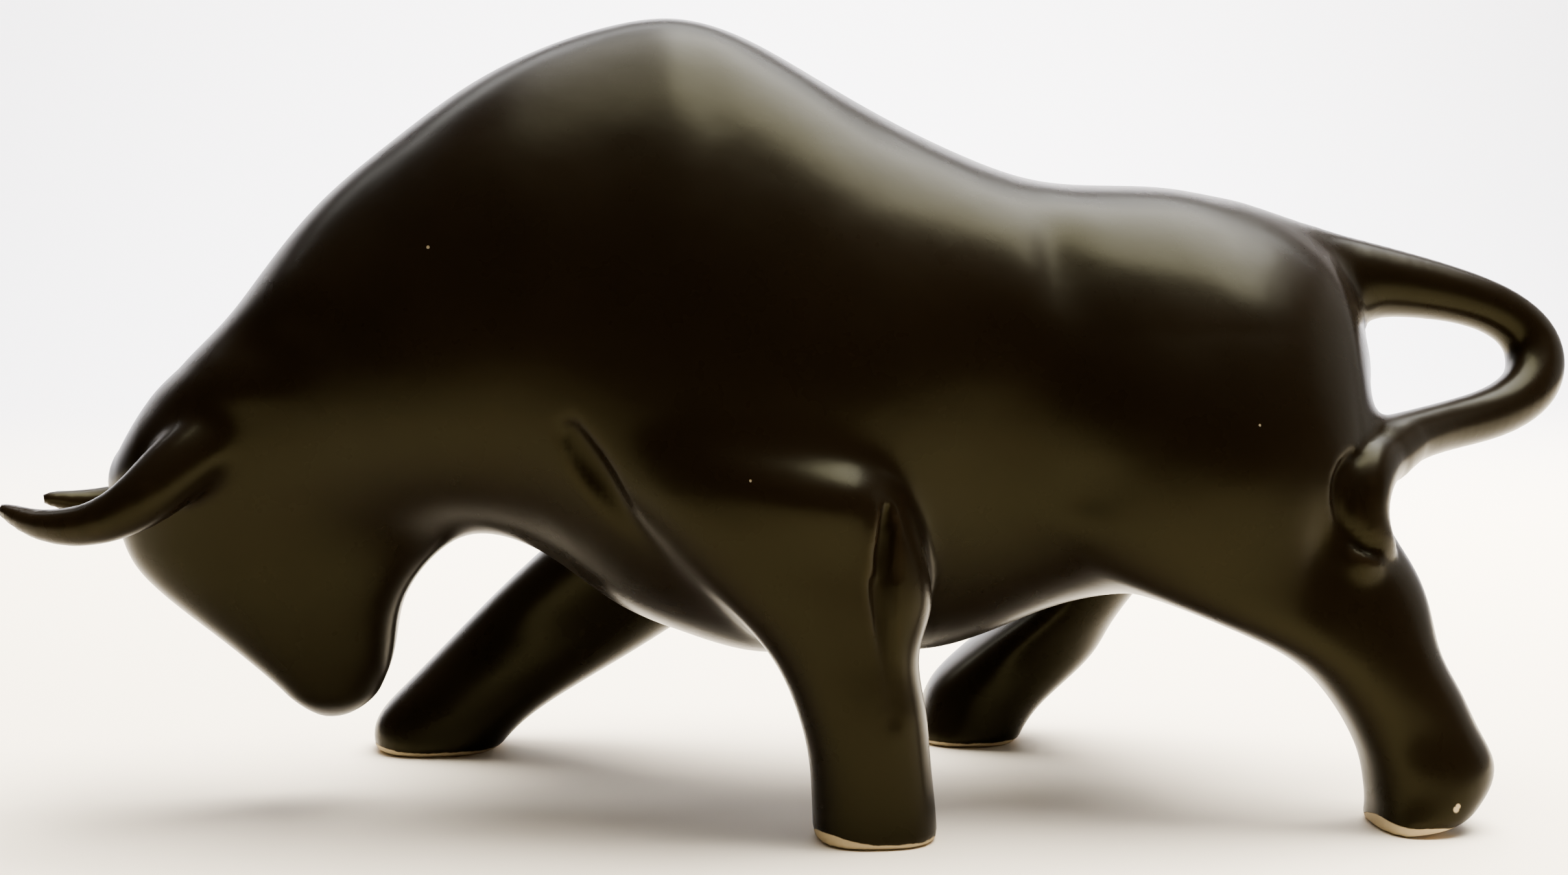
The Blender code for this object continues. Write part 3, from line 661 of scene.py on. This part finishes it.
class Value:
    """A number that shader nodes work out, written as ordinary arithmetic."""

    def __init__(self, shading, socket):
        self.shading = shading
        self.socket = socket

    def maths(self, operation, *others):
        values = dict(enumerate((self,) + others))
        return self.shading.node("ShaderNodeMath", {"operation": operation}, values)

    def __add__(self, other):
        return self.maths("ADD", other)

    def __radd__(self, other):
        return self.maths("ADD", other)

    def __sub__(self, other):
        return self.maths("SUBTRACT", other)

    def __rsub__(self, other):
        return self.shading.node("ShaderNodeMath", {"operation": "SUBTRACT"}, {0: other, 1: self})

    def __mul__(self, other):
        return self.maths("MULTIPLY", other)

    def larger(self, other):
        return self.maths("MAXIMUM", other)

    def rise(self, start, end):
        """0 before start, 1 after end, with a smooth change between; start may be the higher one."""
        if isinstance(start, (int, float)) and start > end:
            return 1 - self.rise(end, start)
        settings = {"interpolation_type": "SMOOTHSTEP"}
        values = {0: self, 1: start, 2: end, 3: 0.0, 4: 1.0}
        return self.shading.node("ShaderNodeMapRange", settings, values)


class Shading:
    """A material being made, with one method that adds any node to it."""

    def __init__(self, name):
        self.material = bpy.data.materials.new(name)
        self.material.use_nodes = True
        self.nodes = self.material.node_tree.nodes
        self.links = self.material.node_tree.links
        self.shader = self.nodes["Principled BSDF"]

    def plug(self, socket, value):
        if isinstance(value, Value):
            self.links.new(value.socket, socket)
        else:
            socket.default_value = value

    def node(self, kind, settings=None, values=None, output=0):
        node = self.nodes.new(kind)
        for name, setting in (settings or {}).items():
            setattr(node, name, setting)
        for name, value in (values or {}).items():
            self.plug(node.inputs[name], value)
        return Value(self, node.outputs[output])

    def finish(self, name, value):
        self.plug(self.shader.inputs[name], value)

    def place(self):
        return self.node("ShaderNodeTexCoord", output="Object")

    def axes(self, place):
        return [self.node("ShaderNodeSeparateXYZ", None, {0: place}, axis) for axis in ("X", "Y", "Z")]

    def noise(self, place, scale, detail=2.0, roughness=0.5):
        values = {"Vector": place, "Scale": scale, "Detail": detail, "Roughness": roughness}
        return self.node("ShaderNodeTexNoise", None, values, "Fac")

    def mix(self, share, first, second):
        """The first colour where share is 0 and the second where it is 1."""
        return self.node("ShaderNodeMix", {"data_type": "RGBA"}, {0: share, 6: first, 7: second}, 2)

    def far_from(self, place, point):
        """Distance from a point."""
        return self.node("ShaderNodeVectorMath", {"operation": "DISTANCE"}, {0: place, 1: point}, "Value")

    def bump(self, height):
        """Small relief, its height in metres."""
        return self.node("ShaderNodeBump", None, {"Strength": 1.0, "Distance": 1.0, "Height": height})


class FigureSettings(bpy.types.PropertyGroup):
    """Sizes of the figure's fine surface."""

    fineness: bpy.props.FloatProperty(
        name="Fineness", description="Width of one cell of the grid that the skin is made on",
        default=0.00135, min=0.001, max=0.006, unit="LENGTH")
    quick_fineness: bpy.props.FloatProperty(
        name="Quick fineness", description="The same for a quick look",
        default=0.0022, min=0.001, max=0.006, unit="LENGTH")
    relief: bpy.props.FloatProperty(
        name="Relief", description="Depth of the fine carving, as a share of the real one",
        default=1.0, min=0.0, max=1.5, subtype="FACTOR")


class GlazeSettings(bpy.types.PropertyGroup):
    """Colours and finish of the glaze and of the bare clay."""

    glaze: bpy.props.FloatVectorProperty(
        name="Glaze", description="Colour of the glaze where it lies thick",
        default=(0.0030, 0.0017, 0.0006), size=3, min=0, max=1, subtype="COLOR")
    thin_glaze: bpy.props.FloatVectorProperty(
        name="Thin glaze", description="Colour of the glaze where it has run thin over an edge",
        default=(0.0070, 0.0042, 0.0018), size=3, min=0, max=1, subtype="COLOR")
    clay: bpy.props.FloatVectorProperty(
        name="Clay", description="Colour of the bare clay at the soles",
        default=(0.46, 0.37, 0.22), size=3, min=0, max=1, subtype="COLOR")
    gloss: bpy.props.FloatProperty(
        name="Glaze roughness", description="Roughness of the satin glaze",
        default=0.28, min=0.0, max=1.0, subtype="FACTOR")
    rim: bpy.props.FloatProperty(
        name="Bare rim", description="Height of the bare clay above the ground",
        default=0.0012, min=0.0, max=0.01, unit="LENGTH")
    grain: bpy.props.FloatProperty(
        name="Grain", description="Height of the ripple in the glaze",
        default=0.00006, min=0.0, max=0.001, unit="LENGTH")


class StageSettings(bpy.types.PropertyGroup):
    """The camera, the lamps and the sweep."""

    distance: bpy.props.FloatProperty(
        name="Camera distance", description="Level distance from the camera to the middle of the figure",
        default=0.450, min=0.1, unit="LENGTH")
    height: bpy.props.FloatProperty(
        name="Camera height", description="Height of the camera above the ground",
        default=0.1191, min=0.0, unit="LENGTH")
    turn: bpy.props.FloatProperty(
        name="Camera turn", description="How far the camera stands round towards the head",
        default=math.radians(5.0), subtype="ANGLE")
    dip: bpy.props.FloatProperty(
        name="Camera dip", description="How far the camera looks down",
        default=math.radians(5.69), subtype="ANGLE")
    focal: bpy.props.FloatProperty(
        name="Focal length", description="Lens of the camera on a 36 mm sensor",
        default=49.31, min=10, unit="CAMERA")
    key: bpy.props.FloatProperty(
        name="Overhead light", description="Power of the softbox over the figure",
        default=42.0, min=0.0, unit="POWER")
    left: bpy.props.FloatProperty(
        name="Left light", description="Power of the dimmer softbox over the head",
        default=6.0, min=0.0, unit="POWER")
    fill: bpy.props.FloatProperty(
        name="Fill light", description="Power of the light on the sweep that leaves no highlight",
        default=50.0, min=0.0, unit="POWER")
    wash: bpy.props.FloatProperty(
        name="Backdrop light", description="Power of the light on the backdrop",
        default=60.0, min=0.0, unit="POWER")
    side: bpy.props.FloatProperty(
        name="Side light", description="Power of the white card lit beside the tail",
        default=1.8, min=0.0, unit="POWER")
    floor: bpy.props.FloatVectorProperty(
        name="Sweep", description="Colour of the paper sweep near the figure",
        default=(0.84, 0.73, 0.56), size=3, min=0, max=1, subtype="COLOR")
    backdrop: bpy.props.FloatVectorProperty(
        name="Backdrop", description="Colour of the sweep behind the figure",
        default=(0.80, 0.79, 0.82), size=3, min=0, max=1, subtype="COLOR")


def glaze_material(settings):
    """Satin brown-black glaze with ripple and pinholes, and bare cream clay at the soles."""
    shading = Shading("satin glaze")
    place = shading.place()
    along, across, height = shading.axes(place)
    ridge = shading.node("ShaderNodeAttribute", {"attribute_name": "ridge"}, None, "Fac")

    ragged = shading.noise(place, RAGGED_PER_METRE, 3.0) - 0.5
    rim = settings.rim + ragged * RIM_RAGGED
    for point, reach, rise in RIM_PATCHES:
        rim = rim + shading.far_from(place, point).rise(reach, 0.0) * rise
    bare = (height - rim).rise(RIM_EDGE, -RIM_EDGE)
    edge_on = shading.node("ShaderNodeCombineXYZ", None, {"X": along, "Y": 0.0, "Z": height})
    near_side = across.rise(0.0, -NEAR_SIDE_FADE)
    for point, radius in CHIPS:
        chip = shading.far_from(edge_on, point) + ragged * radius
        bare = bare.larger(chip.rise(radius, radius * CHIP_CORE) * near_side)
    for point, radius in SPECKS:
        speck = shading.far_from(edge_on, point).rise(radius, radius * SPECK_CORE)
        bare = bare.larger(speck * near_side * SPECK_STRENGTH)
    values = {"Vector": place, "Scale": PINHOLES_PER_METRE}
    cells = shading.node("ShaderNodeTexVoronoi", None, values, "Distance")
    pinhole = cells.rise(PINHOLE_RADIUS * PINHOLES_PER_METRE, 0.0)

    cloud = shading.noise(place, CLOUDS_PER_METRE, 2.0).rise(*CLOUD_RANGE)
    thin = (ridge.rise(THIN_FROM, 1.0) * THIN_ON_EDGES).larger(cloud * THIN_IN_CLOUDS)
    glaze = shading.mix(thin, (*settings.glaze, 1.0), (*settings.thin_glaze, 1.0))
    glaze = shading.mix(pinhole * PINHOLE_STRENGTH, glaze, (*settings.clay, 1.0))
    clay = shading.noise(place, CLAY_MOTTLES_PER_METRE, 3.0)
    clay = shading.mix(clay * CLAY_MOTTLE, (*settings.clay, 1.0), CLAY_GRIT)
    shading.finish("Base Color", shading.mix(bare, glaze, clay))

    smear = (shading.noise(place, SMEARS_PER_METRE, 4.0, 0.6) - 0.5) * SMEAR_DEPTH
    crease = (ridge * -1.0).rise(CREASE_FROM, 1.0) * CREASE_ROUGHER
    rough = settings.gloss + smear + crease
    shading.finish("Roughness", rough * (1 - bare) + bare * CLAY_ROUGHNESS)

    ripple = shading.noise(place, RIPPLES_PER_METRE, 1.0) * (RIPPLE_HEIGHT * settings.grain)
    peel = shading.noise(place, PEEL_PER_METRE, 2.0) * (PEEL_HEIGHT * settings.grain)
    grit = shading.noise(place, GRAINS_PER_METRE, 2.0) * bare * CLAY_GRAIN
    relief = ripple + peel + grit - bare * GLAZE_THICKNESS - pinhole * PINHOLE_DEPTH
    shading.finish("Normal", shading.bump(relief))
    shading.shader.inputs["IOR"].default_value = GLAZE_IOR
    shading.shader.inputs["Specular IOR Level"].default_value = GLAZE_SHEEN
    shading.shader.inputs["Specular Tint"].default_value = GLAZE_TINT
    return shading.material


def paper_material(settings):
    """White paper: warm near the figure, cooler on the rise behind it."""
    shading = Shading("sweep paper")
    place = shading.place()
    behind = shading.axes(place)[1].rise(PAPER_CHANGE, SWEEP_BACK)
    tooth = shading.noise(place, TOOTH_PER_METRE, 2.0)
    colour = shading.mix(behind, (*settings.floor, 1.0), (*settings.backdrop, 1.0))
    shading.finish("Base Color", colour)
    shading.finish("Roughness", PAPER_ROUGHNESS + tooth * TOOTH_ROUGHNESS)
    shading.finish("Normal", shading.bump(tooth * TOOTH_HEIGHT))
    shading.shader.inputs["Specular IOR Level"].default_value = PAPER_SHEEN
    return shading.material


def figure_mesh(settings):
    """The figure's skin as a fine mesh in metres, in the solid's place."""
    fineness = settings.fineness
    step = fineness / SHARE

    def field(points):
        return grounded(points, fine_carving(points, standing_bull(points), settings.relief))

    points, faces = net(field, *GRID_BOX, step)
    points = settled(field, points, 1)
    for _ in range(SMOOTHING):
        points = points + (neighbours_mean(points, faces) - points) / 2
        points = settled(field, points, 1)
    normals = slope_of(field, points)
    normals = normals / np.maximum(np.linalg.norm(normals, axis=1, keepdims=True), 1e-9)
    ridge = ridges(points, faces, normals, step)
    points = (points - FIELD_MIDDLE) * SHARE
    points[:, 2] = np.maximum(points[:, 2], BULL_LOW.z)
    mesh = bpy.data.meshes.new("glazed bull")
    mesh.from_pydata(points.tolist(), [], faces.tolist())
    mesh.attributes.new("ridge", "FLOAT", "POINT").data.foreach_set("value", ridge)
    mesh.shade_smooth()
    return mesh


class BULL_OT_figure(bpy.types.Operator):
    """Make the glazed bull over its solid"""

    bl_idname = "bull.figure"
    bl_label = "Figure"

    def execute(self, context):
        scene = context.scene
        mesh = figure_mesh(scene.bull_figure)
        mesh.materials.append(glaze_material(scene.bull_glaze))
        figure = bpy.data.objects.new("glazed_bull", mesh)
        context.collection.objects.link(figure)
        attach(figure, "root")
        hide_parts("bull")
        return {"FINISHED"}


def add_sweep(context, settings):
    """Paper that runs from in front of the figure to a rise behind it."""
    profile = [(-SWEEP_FRONT, 0.0), (SWEEP_BACK - SWEEP_BEND, 0.0)]
    for k in range(1, SWEEP_STEPS + 1):
        angle = math.pi / 2 * k / SWEEP_STEPS
        out = SWEEP_BACK - SWEEP_BEND + SWEEP_BEND * math.sin(angle)
        profile.append((out, SWEEP_BEND * (1 - math.cos(angle))))
    profile.append((SWEEP_BACK, SWEEP_TOP))
    points = [(side * SWEEP_WIDTH / 2, out, up) for out, up in profile for side in (-1, 1)]
    faces = [(2 * k, 2 * k + 1, 2 * k + 3, 2 * k + 2) for k in range(len(profile) - 1)]
    mesh = bpy.data.meshes.new("sweep")
    mesh.from_pydata(points, [], faces)
    mesh.shade_smooth()
    mesh.materials.append(paper_material(settings))
    sweep = bpy.data.objects.new("sweep", mesh)
    context.collection.objects.link(sweep)


def add_lamp(context, name, power, place, aim, size, colour, seen_in_glaze):
    """A soft lamp at a place, facing its aim."""
    lamp = bpy.data.lights.new(name, "AREA")
    lamp.shape = "RECTANGLE"
    lamp.size, lamp.size_y = size
    lamp.energy = power
    lamp.color = colour
    holder = bpy.data.objects.new(name, lamp)
    context.collection.objects.link(holder)
    holder.location = place
    holder.rotation_euler = (Vector(aim) - Vector(place)).to_track_quat("-Z", "Y").to_euler()
    holder.visible_glossy = seen_in_glaze


def add_camera(context, settings):
    """The camera at the photograph's angle."""
    camera = bpy.data.cameras.new("camera")
    camera.sensor_width = SENSOR_WIDTH
    camera.lens = settings.focal
    holder = bpy.data.objects.new("camera", camera)
    context.collection.objects.link(holder)
    holder.location = (
        AIM_X - settings.distance * math.sin(settings.turn),
        AIM_Y - settings.distance * math.cos(settings.turn),
        settings.height,
    )
    holder.rotation_euler = (math.pi / 2 - settings.dip, 0.0, -settings.turn)
    context.scene.camera = holder


class BULL_OT_stage(bpy.types.Operator):
    """Make the sweep, the lamps and the camera"""

    bl_idname = "bull.stage"
    bl_label = "Stage"

    def execute(self, context):
        settings = context.scene.bull_stage
        add_sweep(context, settings)
        for name, power, place, aim, size, colour, seen_in_glaze in LAMPS:
            add_lamp(context, name, getattr(settings, power), place, aim, size, colour, seen_in_glaze)
        world = bpy.data.worlds.new("dim room")
        world.use_nodes = True
        background = world.node_tree.nodes["Background"]
        background.inputs["Color"].default_value = ROOM_COLOUR
        background.inputs["Strength"].default_value = ROOM_LIGHT
        context.scene.world = world
        add_camera(context, settings)
        return {"FINISHED"}


class BULL_PT_panel(bpy.types.Panel):
    """Lists what can be made, with its sizes and colours"""

    bl_idname = "BULL_PT_panel"
    bl_label = "Charging bull"
    bl_space_type = "VIEW_3D"
    bl_region_type = "UI"
    bl_category = "Bull"

    def draw(self, context):
        for title, group, operator in PANEL_ROWS:
            box = self.layout.box()
            box.label(text=title)
            settings = getattr(context.scene, group)
            for name in settings.__annotations__:
                box.prop(settings, name)
            if operator:
                box.operator(operator)


PANEL_ROWS = (
    ("Glaze", "bull_glaze", None),
    ("Figure", "bull_figure", BULL_OT_figure.bl_idname),
    ("Stage", "bull_stage", BULL_OT_stage.bl_idname),
)
GROUPS = {"bull_figure": FigureSettings, "bull_glaze": GlazeSettings, "bull_stage": StageSettings}
CLASSES = (*GROUPS.values(), BULL_OT_figure, BULL_OT_stage, BULL_PT_panel)


def register():
    for kind in CLASSES:
        bpy.utils.register_class(kind)
    for name, group in GROUPS.items():
        setattr(bpy.types.Scene, name, bpy.props.PointerProperty(type=group))


def unregister():
    for name in GROUPS:
        delattr(bpy.types.Scene, name)
    for kind in reversed(CLASSES):
        bpy.utils.unregister_class(kind)


def main():
    register()
    bpy.ops.bull.stage()
    bpy.ops.bull.figure()


if __name__ == "__main__":
    main()
